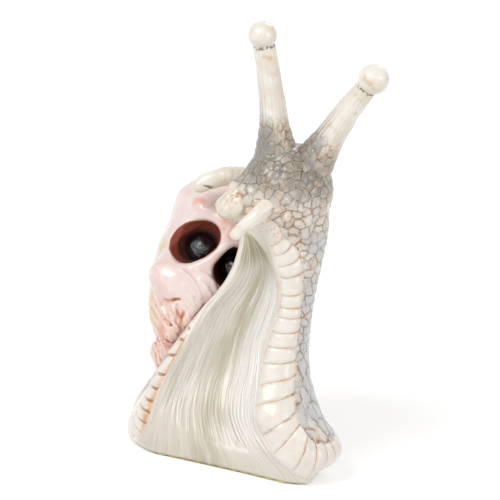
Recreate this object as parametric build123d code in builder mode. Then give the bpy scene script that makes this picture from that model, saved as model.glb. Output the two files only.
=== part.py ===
from build123d import *
import os
from math import cos, radians, sin

os.makedirs("parts", exist_ok=True)

# A glossy cast resin snail, reared up on its foot, with a fleshy skull in the place of its shell.
# X runs to the right of the reared neck's ribbed sole, Y runs back from it to the tail, Z is up.
# The origin is on the resting surface, under the middle of the whole figure's box.

# Foot and neck
foot_width = 70.0
body_depth = 40.0
neck_height = 80.0
glue_line = 0.2
felt_thickness = 0.8
felt_inset = 2.0

# Each row is one level cut through the neck, from the ground up. The first value is its height as a
# share of neck_height. The pairs are shares of foot_width and of body_depth, and go round the cut:
# left fringe, left edge of the sole, bottom of the sole's channel, right edge of the sole,
# right fringe, right flank, right back, middle back, left back.
neck_cut_shares = (
    (0.000, (-0.325, 0.10), (-0.200, -0.37), (0.130, -0.50), (0.470, -0.64),
     (0.560, -0.56), (0.645, -0.20), (0.600, 0.10), (0.170, 0.36), (-0.250, 0.36)),
    (0.100, (-0.316, 0.00), (-0.236, -0.40), (0.115, -0.44), (0.430, -0.62),
     (0.590, -0.60), (0.700, -0.34), (0.640, 0.04), (0.190, 0.32), (-0.240, 0.32)),
    (0.225, (-0.254, -0.16), (-0.208, -0.38), (0.043, -0.18), (0.270, -0.49),
     (0.480, -0.52), (0.556, -0.34), (0.530, 0.06), (0.190, 0.30), (-0.190, 0.24)),
    (0.400, (-0.185, -0.22), (-0.150, -0.36), (0.057, -0.03), (0.252, -0.33),
     (0.408, -0.35), (0.476, -0.15), (0.445, 0.12), (0.190, 0.25), (-0.100, 0.12)),
    (0.575, (-0.090, -0.12), (-0.060, -0.25), (0.114, 0.01), (0.274, -0.26),
     (0.402, -0.26), (0.452, -0.07), (0.420, 0.14), (0.220, 0.24), (0.000, 0.02)),
    (0.725, (0.014, -0.08), (0.043, -0.19), (0.165, -0.01), (0.290, -0.23),
     (0.388, -0.22), (0.448, -0.04), (0.420, 0.16), (0.270, 0.24), (0.100, 0.03)),
    (0.875, (0.057, -0.05), (0.081, -0.17), (0.140, -0.08), (0.215, -0.21),
     (0.340, -0.20), (0.455, -0.01), (0.430, 0.18), (0.270, 0.29), (0.105, 0.08)),
    (1.000, (0.053, -0.02), (0.071, -0.14), (0.110, -0.20), (0.180, -0.23),
     (0.310, -0.22), (0.461, 0.01), (0.430, 0.20), (0.260, 0.32), (0.090, 0.16)),
    (1.090, (0.045, 0.00), (0.065, -0.16), (0.143, -0.26), (0.220, -0.28),
     (0.330, -0.24), (0.445, 0.02), (0.410, 0.20), (0.240, 0.33), (0.080, 0.18)),
    (1.170, (0.055, 0.02), (0.080, -0.12), (0.150, -0.22), (0.220, -0.24),
     (0.310, -0.20), (0.400, 0.03), (0.370, 0.18), (0.230, 0.29), (0.090, 0.16)),
)
neck_levels = 16

# Ribs that run up the sole, and how far each stands out as a share of its width
rib_count = 11
rib_rise_share = 0.22

# Plates of the margins: how high up the neck their gaps are, as shares of neck_height, then their
# length along the margin and width across it, as shares of their spacing and the margin's width there
right_plate_shares = (0.10, 0.21, 0.30, 0.385, 0.465, 0.54, 0.61, 0.68, 0.745, 0.81, 0.87, 0.93)
left_plate_shares = (0.13, 0.20, 0.27, 0.34, 0.41, 0.48)
plate_length_share = 0.90
plate_width_share = 0.92
plate_rise = 0.6
plate_root = 2.0
plate_corner_share = 0.30
# How far the margins reach round the neck's sides, as a share of each side's line
margin_reach_share = 0.30

# The mound of the foot behind the neck, on which the skull sits
mound_height = 34.0
mound_width = 60.0
mound_length = 66.0
# Height, then middle across and middle back, then half width and half length, as shares of the above
mound_cut_shares = (
    (0.00, 0.13, 0.27, 0.50, 0.50),
    (0.16, 0.13, 0.27, 0.49, 0.48),
    (0.38, 0.07, 0.28, 0.38, 0.40),
    (0.68, 0.01, 0.29, 0.25, 0.31),
    (0.90, -0.02, 0.29, 0.19, 0.24),
    (1.00, -0.03, 0.29, 0.13, 0.17),
)

# Head
head_length = 34.0
head_radius = 15.2
head_centre_shares = (0.215, 0.06, 1.125)
head_axis = (-0.90, -0.12, -0.30)
# Along the head from its nape, then outwards, as shares of head_length and head_radius
head_profile_shares = ((0.06, 0.52), (0.24, 0.90), (0.48, 1.00), (0.72, 0.78), (0.90, 0.42))
# The muzzle and its lips: a radius as a share of head_radius, then the place
lip_shares = (
    (0.52, (0.060, -0.07, 1.065)),
    (0.31, (-0.014, -0.14, 1.045)),
    (0.28, (-0.045, -0.03, 1.085)),
)

# Skull
skull_height = 72.0
skull_width = 40.0
skull_depth = 48.0
skull_tilt = 20.0
skull_lean = 12.0
skull_turn = 6.0
# The bridge between its sockets: shares of foot_width and body_depth, then how far it stands above the
# mound as a share of skull_height
skull_place_shares = (-0.021, 0.09)
skull_lift_share = 0.44
# Height, half width, front and back, as shares of the above, from the chin up to the crown.
# Height nothing is at the bridge between the eye sockets, whose front face is depth nothing.
skull_cut_shares = (
    (-0.575, 0.060, 0.04, 0.44),
    (-0.535, 0.115, 0.00, 0.58),
    (-0.480, 0.165, -0.03, 0.68),
    (-0.430, 0.225, -0.05, 0.76),
    (-0.350, 0.315, -0.06, 0.83),
    (-0.236, 0.400, -0.04, 0.89),
    (-0.125, 0.450, -0.02, 0.94),
    (0.000, 0.475, 0.00, 0.98),
    (0.115, 0.520, 0.00, 0.99),
    (0.220, 0.490, 0.05, 0.96),
    (0.295, 0.400, 0.13, 0.89),
    (0.342, 0.290, 0.23, 0.79),
    (0.371, 0.165, 0.34, 0.68),
    (0.381, 0.050, 0.46, 0.56),
)

# Swellings of the face, each by its radius as a share of skull_width, then its place in skull
# widths across, skull depths back and skull heights up from the bridge between the sockets
face_bulge_shares = (
    (0.150, (-0.245, 0.175, -0.150)),
    (0.150, (0.245, 0.175, -0.150)),
    (0.160, (-0.250, 0.17, 0.155)),
    (0.160, (0.250, 0.17, 0.155)),
    (0.190, (-0.170, 0.115, -0.215)),
    (0.125, (0.080, 0.07, -0.200)),
    (0.150, (-0.010, 0.06, -0.390)),
    (0.120, (-0.022, 0.055, -0.520)),
)
# Hollow under the cheek, then the creases at the right and in the middle of the mouth
face_hollow_shares = (
    (0.040, (-0.150, -0.045, -0.270)),
    (0.040, (0.080, -0.03, -0.285)),
    (0.036, (0.055, -0.035, -0.325)),
    (0.036, (-0.020, -0.04, -0.345)),
    (0.036, (0.000, -0.035, -0.385)),
)

# Eye sockets: each one's middle, width and height, as shares of skull_width and skull_height, and how
# far its top slants to the right, in degrees
socket_shares = (
    ((-0.195, -0.014), (0.285, 0.222), 24.0),
    ((0.145, -0.040), (0.275, 0.192), -8.0),
)
socket_depth = 9.0
# How far in, as shares of socket_depth, and how large there, as shares of the socket's opening
socket_cut_shares = ((-0.8, 1.20), (0.0, 1.04), (0.6, 0.96), (1.0, 0.90))
bead_diameter = 10.0
bead_spacing = 12.6
bead_drop = 2.2
bead_fit = 0.1

# Eyestalks, each with a ball on its tip and a wire inside
wire_diameter = 1.6
wire_fit = 0.1
wire_reach_share = 0.80
stalk_peg_diameter = 5.0
stalk_peg_length = 7.0
peg_fit = 0.1
tip_spigot_diameter = 2.8
tip_spigot_length = 4.0
tip_sink_share = 0.7
left_tip_diameter = 9.2
right_tip_diameter = 10.0
stalk_sink = 5.0

# Tips and bends of the stalks and feelers, as shares of foot_width, body_depth and neck_height
left_stalk_shares = ((0.169, 0.05, 1.262), (0.110, 0.03, 1.484), (0.033, 0.00, 1.715))
right_stalk_shares = ((0.330, 0.02, 1.244), (0.444, -0.10, 1.483), (0.529, -0.20, 1.632))
stalk_base_radius = 6.0
stalk_rings = 10
# Along the stalk, then its radius, as shares of its length and of stalk_base_radius
stalk_taper_shares = ((0.0, 1.25), (0.12, 1.05), (0.28, 0.83), (0.5, 0.70), (0.75, 0.625), (1.0, 0.57))

# Feelers
feeler_radius = 2.4
feeler_rings = 6
right_feeler_shares = ((0.207, -0.165, 1.125), (0.117, -0.310, 1.045), (0.042, -0.335, 0.966))
left_feeler_shares = ((0.020, 0.14, 1.130), (-0.080, 0.10, 1.124), (-0.175, 0.08, 1.070))
feeler_taper_shares = ((0.0, 1.25), (0.35, 1.00), (0.75, 0.86), (1.0, 0.80))
feeler_tip_share = 0.98

# Dowels between the foot and the skull
dowel_diameter = 4.0
dowel_length = 14.0
dowel_spacing = 9.0
dowel_fit = 0.1


def at(shares):
    """The place that shares of the width, depth and neck height give."""
    return Vector(shares[0] * foot_width, shares[1] * body_depth, shares[2] * neck_height)


def smooth(before, low, high, after, share):
    """A value between low and high, on a curve that also heads for the values before and after."""
    rise = (high - before) / 2
    fall = (after - low) / 2
    bend = 3 * (high - low) - 2 * rise - fall
    return low + share * (rise + share * (bend + share * (high - low - rise - bend)))


def between_rows(rows, share):
    """What a table, whose rows start with their share, holds at any share between its rows."""
    last = len(rows) - 1
    high = next((i for i in range(1, last) if rows[i][0] >= share), last)
    near = [rows[max(high - 2, 0)], rows[high - 1], rows[high], rows[min(high + 1, last)]]
    step = (share - near[1][0]) / (near[2][0] - near[1][0])
    return [smooth(*values, step) for values in zip(*(row[1:] for row in near))]


# The neck's table as each level's share and the places round it
neck_rows = []
for share, *pairs in neck_cut_shares:
    neck_rows.append([share] + [Vector(x * foot_width, y * body_depth) for x, y in pairs])


def neck_edges(share, grow=0.0):
    """The lines round one level cut through the neck: its sole, right side, back and left side."""
    places = between_rows(neck_rows, share)
    middle = sum(places, Vector()) / len(places)
    points = [place + (place - middle).normalized() * grow for place in places]
    fringe_left, sole_left, channel, sole_right, fringe_right, flank, back_right, back, back_left = points
    with BuildLine():
        sole = ThreePointArc(sole_left, channel, sole_right)
        right = Spline(sole_right, fringe_right, flank, back_right)
        rear = ThreePointArc(back_right, back, back_left)
        left = Spline(back_left, fringe_left, sole_left)
    return sole, right, rear, left


def level_height(share):
    """How high above the ground this share of the neck's height is."""
    return felt_thickness + share * (neck_height - felt_thickness)


def neck_cut(share, grow):
    """One level cut through the neck, as a face that is grow larger all round."""
    sole, *others = neck_edges(share, grow)
    feet = [sole @ (step / rib_count) for step in range(rib_count + 1)]
    with BuildSketch(Plane.XY.offset(level_height(share))) as cut:
        with BuildLine():
            for start, end in zip(feet, feet[1:]):
                outwards = (end - start).cross(Vector(0, 0, 1))
                ThreePointArc(start, (start + end) / 2 + outwards * rib_rise_share, end)
            add(others)
        make_face()
    return cut.sketch


def margin_line(side, share):
    """The inner, middle and outer place of a margin at a share of the neck's height."""
    sole, right, rear, left = neck_edges(share)
    rise = Vector(0, 0, level_height(share))
    marks = [margin_reach_share * step / 2 for step in range(3)]
    if side == "right":
        return [right @ mark + rise for mark in marks]
    return [left @ (1 - mark) + rise for mark in marks]


def plate(side, share, reach, grow):
    """One plate of a margin, rooted in the neck and standing out from it."""
    inner, middle, outer = margin_line(side, share)
    along = margin_line(side, share + reach / 2)[1] - margin_line(side, share - reach / 2)[1]
    across = outer - inner
    outwards = across.cross(along) if side == "right" else along.cross(across)
    width = across.length * plate_width_share + 2 * grow
    length = along.length * plate_length_share + 2 * grow
    bed = Plane(middle, x_dir=across, z_dir=outwards)
    with BuildPart() as slab:
        with BuildSketch(bed.offset(-plate_root)):
            RectangleRounded(width, length, plate_corner_share * min(width, length))
        extrude(amount=plate_root + plate_rise + grow)
    return slab.part


def mound_cut(row, grow):
    """One level cut through the mound behind the neck."""
    height = felt_thickness + row[0] * (mound_height - felt_thickness)
    with BuildSketch(Plane.XY.offset(height + (grow if row[0] else 0.0))) as cut:
        with Locations((row[1] * mound_width, row[2] * mound_length)):
            Ellipse(row[3] * mound_width + grow, row[4] * mound_length + grow)
    return cut.sketch


def head_form(grow):
    """The egg of the head, turned about the line from its nape to its mouth."""
    centre = at(head_centre_shares)
    axis = Vector(*head_axis).normalized()
    side = Plane(origin=centre - axis * (head_length / 2), x_dir=axis, z_dir=axis.cross(Vector(0, 0, 1)))
    with BuildPart() as egg:
        with BuildSketch(side):
            with BuildLine():
                nape = (-grow, 0)
                mouth = (head_length + grow, 0)
                along = [(x * head_length, r * head_radius + grow) for x, r in head_profile_shares]
                Spline(nape, *along, mouth, tangents=((0, 1), (0, -1)))
                Line(mouth, nape)
            make_face()
        revolve(axis=Axis(side.origin, axis))
    return egg.part


def body_form(grow=0.0):
    """Foot, neck and head in one, grow larger all round."""
    with BuildPart() as form:
        top = neck_cut_shares[-1][0]
        loft([neck_cut(top * step / neck_levels, grow) for step in range(neck_levels + 1)], ruled=True)
        loft([mound_cut(row, grow) for row in mound_cut_shares])
        add(head_form(grow))
        for radius_share, place in lip_shares:
            with Locations(at(place)):
                Sphere(radius_share * head_radius + grow)
        for side, shares in (("right", right_plate_shares), ("left", left_plate_shares)):
            for share, following in zip(shares, shares[1:]):
                add(plate(side, (share + following) / 2, following - share, grow))
    return form.part


def skull_plane(share):
    """The level of the skull at this share of its height, leaning and turned as the skull is."""
    tilt, lean = radians(skull_tilt), radians(skull_lean)
    up = Vector(sin(tilt) * cos(lean), sin(lean), cos(tilt) * cos(lean))
    bridge = Vector(
        skull_place_shares[0] * foot_width,
        skull_place_shares[1] * body_depth,
        mound_height + skull_lift_share * skull_height,
    )
    level = Plane(origin=bridge, x_dir=(cos(tilt), 0, -sin(tilt)), z_dir=up)
    return level.rotated((0, 0, -skull_turn)).offset(share * skull_height)


def on_skull(shares):
    """The place on the skull that shares of its width, depth and height give."""
    reach = (shares[0] * skull_width, shares[1] * skull_depth, shares[2] * skull_height)
    return skull_plane(0.0).from_local_coords(reach)


def tapered(path, taper_shares, radius, rings):
    """A round horn along the path."""
    with BuildPart() as horn:
        for ring in range(rings + 1):
            along = ring / rings
            with BuildSketch(Plane(path @ along, z_dir=path % along)):
                Circle(radius * between_rows(taper_shares, along)[0])
        loft(ruled=True)
    return horn.part


def curve(points):
    """The path from the first point to the last, bent through the middle one."""
    with BuildLine() as line:
        Spline(*points)
    return line.line


def rod(start, direction, diameter, length):
    """A round bar from its start along a direction."""
    with BuildPart() as bar:
        with BuildSketch(Plane(start, z_dir=direction)):
            Circle(diameter / 2)
        extrude(amount=length)
    return bar.part


seat = body_form(glue_line)

# Dowels that stand in the mound and hold the skull
mound_top = mound_cut_shares[-1]
dowels = {}
dowel_holes = {}
for side, step in (("front", -dowel_spacing / 2), ("rear", dowel_spacing / 2)):
    foot = Vector(
        mound_top[1] * mound_width,
        mound_top[2] * mound_length + step,
        mound_height - dowel_length / 2,
    )
    dowels[side] = rod(foot, (0, 0, 1), dowel_diameter, dowel_length)
    hole_foot = foot - Vector(0, 0, dowel_fit)
    hole_diameter = dowel_diameter + 2 * dowel_fit
    dowel_holes[side] = rod(hole_foot, (0, 0, 1), hole_diameter, dowel_length + 2 * dowel_fit)

# Skull, with its two sockets and the pockets that hold the beads
level = skull_plane(0.0)
socket_side = Plane(level.origin, x_dir=level.x_dir, z_dir=level.y_dir)
bead_places = {
    "left": level.from_local_coords((-bead_spacing / 2, socket_depth, -bead_drop)),
    "right": level.from_local_coords((bead_spacing / 2, socket_depth, -bead_drop)),
}
with BuildPart() as skull:
    for share, half, front, back in skull_cut_shares:
        with BuildSketch(skull_plane(share)):
            with Locations((0, (front + back) * skull_depth / 2)):
                Ellipse(half * skull_width, (back - front) * skull_depth / 2)
    loft()
    for radius_share, place in face_bulge_shares:
        with Locations(on_skull(place)):
            Sphere(radius_share * skull_width)
    for radius_share, place in face_hollow_shares:
        with Locations(on_skull(place)):
            Sphere(radius_share * skull_width, mode=Mode.SUBTRACT)
    for (across, rise), (wide, high), slant in socket_shares:
        for depth_share, size_share in socket_cut_shares:
            half_width = size_share * wide * skull_width / 2
            half_height = size_share * high * skull_height / 2
            with BuildSketch(socket_side.offset(depth_share * socket_depth)):
                with Locations(Location((across * skull_width, -rise * skull_height), slant)):
                    Ellipse(half_width, half_height)
        loft(mode=Mode.SUBTRACT)
    with Locations(*bead_places.values()):
        Sphere(bead_diameter / 2 + bead_fit, mode=Mode.SUBTRACT)
    add(seat, mode=Mode.SUBTRACT)
    add(list(dowel_holes.values()), mode=Mode.SUBTRACT)

# Eye beads
beads = {}
for side, place in bead_places.items():
    with BuildPart() as bead:
        with Locations(place):
            Sphere(bead_diameter / 2)
    beads[side] = bead.part

# Eyestalks, their tip balls and the wires inside them
pegs = {}
stalks = {}
tips = {}
wires = {}
tip_diameters = {"left": left_tip_diameter, "right": right_tip_diameter}
for side, shares in (("left", left_stalk_shares), ("right", right_stalk_shares)):
    path = curve([at(share) for share in shares])
    root, root_way = path @ 0, path % 0
    tip, tip_way = path @ 1, path % 1
    wire_way = (tip - root).normalized()
    wire_length = wire_reach_share * (tip - root).length
    wire_hole = rod(
        root - wire_way * wire_fit, wire_way, wire_diameter + 2 * wire_fit, wire_length + 2 * wire_fit
    )
    ball_radius = tip_diameters[side] / 2
    ball_sink = ball_radius * tip_sink_share
    peg_start = root - root_way * (stalk_peg_length - stalk_sink)
    peg_reach = stalk_peg_length + stalk_sink
    pegs[side] = (peg_start, root_way, peg_reach)
    with BuildPart() as stalk:
        add(tapered(path, stalk_taper_shares, stalk_base_radius, stalk_rings))
        add(seat, mode=Mode.SUBTRACT)
        add(rod(peg_start, root_way, stalk_peg_diameter, peg_reach))
        with Locations(tip + tip_way * ball_sink):
            Sphere(ball_radius + peg_fit, mode=Mode.SUBTRACT)
        add(wire_hole, mode=Mode.SUBTRACT)
        bore_start = tip - tip_way * tip_spigot_length
        bore = rod(bore_start, tip_way, tip_spigot_diameter + 2 * peg_fit, 2 * tip_spigot_length)
        add(bore, mode=Mode.SUBTRACT)
    stalks[side] = stalk.part
    wires[side] = rod(root, wire_way, wire_diameter, wire_length)
    ball_side = Plane(tip + tip_way * ball_sink, x_dir=tip_way, z_dir=tip_way.cross(Vector(0, 0, 1)))
    spigot_reach = ball_sink + tip_spigot_length - peg_fit
    with BuildPart() as tip_ball:
        with BuildSketch(ball_side):
            Circle(ball_radius)
            Rectangle(spigot_reach, tip_spigot_diameter, align=(Align.MAX, Align.CENTER))
            split(bisect_by=Plane.XZ)
        revolve(axis=Axis(ball_side.origin, tip_way))
    tips[side] = tip_ball.part

# Feelers
feelers = {}
for side, shares in (("left", left_feeler_shares), ("right", right_feeler_shares)):
    path = curve([at(share) for share in shares])
    with BuildPart() as feeler:
        add(tapered(path, feeler_taper_shares, feeler_radius, feeler_rings))
        with Locations(path @ 1):
            Sphere(feeler_tip_share * feeler_radius)
        add(seat, mode=Mode.SUBTRACT)
        add(skull.part, mode=Mode.SUBTRACT)
    feelers[side] = feeler.part

# Body casting, bored for the pegs
with BuildPart() as snail_body:
    add(body_form())
    for peg_start, root_way, peg_reach in pegs.values():
        hole_start = peg_start - root_way * peg_fit
        add(rod(hole_start, root_way, stalk_peg_diameter + 2 * peg_fit, peg_reach), mode=Mode.SUBTRACT)
    add(list(dowel_holes.values()), mode=Mode.SUBTRACT)

# Felt under the foot
with BuildPart() as base_felt:
    with BuildSketch():
        add(neck_cut(neck_cut_shares[0][0], -felt_inset).moved(Location((0, 0, -felt_thickness))))
        add(mound_cut(mound_cut_shares[0], -felt_inset).moved(Location((0, 0, -felt_thickness))))
    extrude(amount=felt_thickness)

pieces = {
    "snail_body": snail_body.part,
    "skull": skull.part,
    "base_felt": base_felt.part,
}
for side in ("left", "right"):
    pieces["eye_bead_" + side] = beads[side]
    pieces["eyestalk_" + side] = stalks[side]
    pieces["eyestalk_tip_" + side] = tips[side]
    pieces["feeler_" + side] = feelers[side]
    pieces["stalk_wire_" + side] = wires[side]
for side, dowel in dowels.items():
    pieces["skull_dowel_" + side] = dowel

middle = Compound(list(pieces.values())).bounding_box().center()
to_origin = Location((-middle.X, -middle.Y, 0))
for name, piece in pieces.items():
    placed = piece.moved(to_origin)
    placed.label = name
    print(name, round(piece.volume), len(piece.solids()))
    export_step(placed, f"parts/{name}.step")
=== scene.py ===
import math

import bmesh
import bpy
import numpy as np
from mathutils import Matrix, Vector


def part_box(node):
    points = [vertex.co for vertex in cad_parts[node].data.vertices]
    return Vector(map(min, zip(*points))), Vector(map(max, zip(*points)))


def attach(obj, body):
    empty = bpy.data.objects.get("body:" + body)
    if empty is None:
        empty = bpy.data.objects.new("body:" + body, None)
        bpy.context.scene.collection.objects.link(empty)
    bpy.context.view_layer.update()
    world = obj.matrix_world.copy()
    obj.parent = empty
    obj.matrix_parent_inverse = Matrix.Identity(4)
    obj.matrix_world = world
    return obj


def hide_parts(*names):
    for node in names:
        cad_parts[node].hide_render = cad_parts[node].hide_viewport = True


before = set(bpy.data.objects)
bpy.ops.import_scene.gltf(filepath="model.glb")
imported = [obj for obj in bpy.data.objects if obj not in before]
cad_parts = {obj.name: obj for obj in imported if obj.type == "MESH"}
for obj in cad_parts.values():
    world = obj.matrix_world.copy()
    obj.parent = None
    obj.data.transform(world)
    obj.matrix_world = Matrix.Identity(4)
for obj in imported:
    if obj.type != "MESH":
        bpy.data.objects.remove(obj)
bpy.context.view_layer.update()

import openvdb
from mathutils import Matrix, Vector
from mathutils.kdtree import KDTree

# The sculpting is done in figure millimetres: X right, Y back and Z up, measured from the middle of
# the reared neck's foot, as the CAD source measures them. The frame has the same axes, but its origin
# is under the middle of the whole figure. The front dowel's place in the figure, right and back, and
# the middle of its node give the step between the two.
MM = 0.001
front_dowel = Vector((-1.8, 14.64))
dowel_low, dowel_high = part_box("skull_dowel_front")
dowel_middle = (dowel_low + dowel_high) / 2 / MM
figure_step = np.array([front_dowel.x - dowel_middle.x, front_dowel.y - dowel_middle.y, 0.0])

# Fineness of the sculpted skins, how far from a skin the clay knows its depth, and a depth far outside
body_grain = 0.53
skull_grain = 0.40
clay_reach = 5.0
far_outside = 99.0

# Right and left edges of the ribbed sole: height, then how far right
sole_right_edge = np.array([
    (0.8, 37.0), (4.6, 33.1), (8.0, 27.7), (12.1, 22.7), (15.2, 19.9), (21.3, 17.9), (28.6, 17.7),
    (41.2, 17.1), (47.9, 18.2), (56.3, 18.9), (62.7, 17.4), (68.2, 14.4), (73.4, 10.3), (76.8, 6.3),
])
sole_left_edge = np.array([
    (0.8, -18.2), (4.5, -17.6), (9.6, -16.4), (18.2, -14.8), (25.9, -12.7), (33.7, -9.8), (42.3, -7.0),
    (48.3, -4.7), (52.6, -2.0), (57.1, 1.6), (61.9, 4.3), (66.4, 5.5), (71.0, 5.8), (76.8, 5.6),
])
# The height of the sole's top, how many ribs it has, the sides of a rib's cord and the height where
# the ribs end
sole_top = 77.0
rib_count, rib_sides, rib_end = 27, 10, 3.4
# How deep a rib's middle lies under the skin, as a share of its radius, and how much deeper at the foot
rib_sunk, rib_sunk_at_foot = 0.76, 0.40
# The foot's lower edge, the height up to which its side is straight, the fillet between the two, and
# how far its right edge draws in at the ground
foot_bottom = 0.5
straight_foot = 2.4
foot_fillet = 1.4
foot_drawn_in = 4.4

# The margin of plates. Each row is a gap between two plates: its number, its place on the margin's
# inner border and its place on the outer border. The rows come down the right of the sole, go round
# the foot and up the left of the sole. Where no gap was seen, at the back, whole plates lie between.
margin_rows = (
    (-1.6, (7.4, -9, 77), (10, -9, 84.7)),
    (-0.6, (11.2, -8.8, 75.4), (15.2, -8.8, 81.8)),
    (1, (14.6, -8.7, 73.6), (18.2, -8.6, 77.6)),
    (2, (16.8, -8.5, 71), (21.2, -8.5, 75.4)),
    (3, (18.3, -8.6, 67.2), (25, -8.2, 71.6)),
    (4, (19.3, -8.8, 64), (26.9, -8.2, 67)),
    (5, (20.2, -9.2, 58), (27.8, -8.6, 60.6)),
    (6, (20.2, -9.6, 54.3), (28, -9.2, 55.6)),
    (7, (19.6, -9.9, 51), (28.4, -9.5, 52.2)),
    (8, (18.9, -10.4, 46), (28.5, -10.2, 47.6)),
    (9, (18, -11.4, 41), (28.7, -11.3, 42.7)),
    (10, (17.7, -12.5, 35.6), (29.2, -12.2, 38.4)),
    (11, (17.6, -14.9, 28.4), (29.6, -13.4, 33.8)),
    (12, (17.8, -17.6, 22.2), (29.6, -15.8, 28.2)),
    (13, (20.2, -21.9, 13.8), (30.6, -18.3, 22.6)),
    (14, (25.3, -24.5, 8.6), (32.4, -20.1, 19)),
    (15, (32.6, -25.4, 4.4), (34.6, -21.4, 16)),
    (16, (38.6, -24.5, 2.2), (38.6, -21, 14)),
    (17, (42.6, -21.5, 1.8), (41.4, -18.6, 13.2)),
    (18, (44.6, -18, 1.8), (43, -15.4, 13)),
    (19, (45.6, -14, 1.8), (43.8, -12, 13)),
    (20, (45.8, -9, 1.8), (43.6, -8, 13)),
    (21.5, (44, -1, 1.6), (42, -1, 12.5)),
    (23, (40.5, 6, 1.5), (38, 6.5, 12)),
    (24.5, (38.3, 13, 1.5), (34.5, 13.5, 11)),
    (26.5, (37.3, 22, 1.5), (32.5, 22, 10)),
    (29.2, (33, 35, 1.5), (29, 32, 9.5)),
    (31.8, (24, 45.5, 1.5), (21, 41, 9)),
    (34.8, (8, 50.5, 1.5), (8, 45.5, 9)),
    (37.8, (-8, 46.5, 1.5), (-6, 42, 9)),
    (40.6, (-18, 35, 1.5), (-15, 32, 9.5)),
    (43.4, (-22, 20, 1.5), (-18.5, 19, 10)),
    (46, (-22.6, 6, 1.5), (-20.5, 7, 11)),
    (47.6, (-21, -6, 2), (-21, -1, 9)),
    (49, (-17.4, -15, 5.5), (-20.6, -6.5, 8.5)),
    (50, (-16.5, -15.6, 10), (-20, -7, 11.5)),
    (51, (-15.8, -15.5, 14), (-19.4, -7.5, 14.4)),
    (52, (-15, -15.2, 17.6), (-18.6, -8, 17.4)),
    (53, (-13.4, -15, 22.2), (-17.5, -8, 21.4)),
    (54, (-11.8, -14.7, 27.5), (-16.2, -8.5, 26.4)),
    (55, (-9.6, -13.4, 34.4), (-13.6, -8.6, 33)),
    (56, (-8, -11.7, 39.6), (-11.4, -7.1, 38.8)),
    (57, (-6.8, -10.8, 43.5), (-9.6, -6, 43)),
    (58, (-4.8, -10, 47.6), (-7, -5, 47.4)),
    (59, (-2, -8.9, 52), (-4, -4.4, 52)),
)
# The plate with which the sole's left side starts, the rise of a plate from its near end to its far
# end on each side, and how deep the gaps between the plates and the lines along their borders are
left_side_start = 46.5
plate_rise_right, plate_rise_left = 0.30, -0.70
groove_depth, border_depth = 0.45, 0.30
# A scale's width, how high it stands over its crease, and by how much the scales differ in that
scale_pitch = 3.0
scale_height, scale_spread = 0.40, 0.14
# The smooth muzzle: its middle and its half sizes
muzzle_middle, muzzle_half_size = (-2.6, -4.6, 84.4), (7.6, 8.6, 6.6)


def smooth_step(low, high, value):
    """From nothing at low to one at high, without a corner."""
    share = np.clip((value - low) / (high - low), 0.0, 1.0)
    return share * share * (3 - 2 * share)


def through(keys, values, where):
    """A smooth curve through the values at their keys, read at where."""
    slopes = np.gradient(values, keys, axis=0)
    i = np.clip(np.searchsorted(keys, where) - 1, 0, len(keys) - 2)
    span = keys[i + 1] - keys[i]
    t = np.clip((where - keys[i]) / span, 0.0, 1.0)
    if values.ndim > 1:
        t, span = t[:, None], span[:, None]
    a = (1 + 2 * t) * (1 - t) ** 2
    b = t * (1 - t) ** 2 * span
    c = t * t * (3 - 2 * t)
    d = t * t * (t - 1) * span
    return a * values[i] + b * slopes[i] + c * values[i + 1] + d * slopes[i + 1]


def bell(value):
    """One where the value is nothing, falling to nothing on both sides."""
    return np.exp(-value ** 2)


def blended(block, base, t):
    """The values of a block between its cells, at the share t of the way on from each base cell. Past
    its end the block starts again."""
    value = 0.0
    for corner in np.ndindex(2, 2, 2):
        weight = np.prod(np.where(corner, t, 1 - t), axis=1)
        i = (base + corner) % block.shape[:3]
        near = block[i[:, 0], i[:, 1], i[:, 2]]
        value = value + (weight[:, None] * near if near.ndim > 1 else weight * near)
    return value


def lumps(points, size, seed):
    """Smooth random swelling between minus one and one, with lumps of about this size."""
    block = np.random.default_rng(seed).random((32, 32, 32)) * 2 - 1
    base = np.floor(points / size).astype(int)
    t = points / size - base
    return blended(block, base, t * t * (3 - 2 * t))


def pushes(points, size, seed):
    """Random pushes right, back and up, of up to one, with lumps of about this size."""
    return np.stack([lumps(points, size, seed + axis) for axis in range(3)], 1)


def nearest_of(points):
    """A search for the nearest of these points."""
    search = KDTree(len(points))
    for i, place in enumerate(points.tolist()):
        search.insert(place, i)
    search.balance()
    return search


def dabs(points, places):
    """Soft round dabs of paint, each a place and its radius, from nothing to one."""
    total = np.zeros(len(points))
    for *place, radius in places:
        away = np.linalg.norm(points - np.array(place), axis=1)
        total = np.maximum(total, smooth_step(radius, 0.35 * radius, away))
    return total


def solid_of(node):
    """The points and triangles of a CAD node, joined into one skin."""
    mesh = bmesh.new()
    mesh.from_mesh(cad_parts[node].data)
    bmesh.ops.remove_doubles(mesh, verts=mesh.verts, dist=1e-6)
    points = np.array([v.co for v in mesh.verts]) / MM + figure_step
    mesh.verts.index_update()
    triangles = np.array([[v.index for v in face.verts] for face in mesh.faces], np.uint32)
    mesh.free()
    return points, triangles


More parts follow.
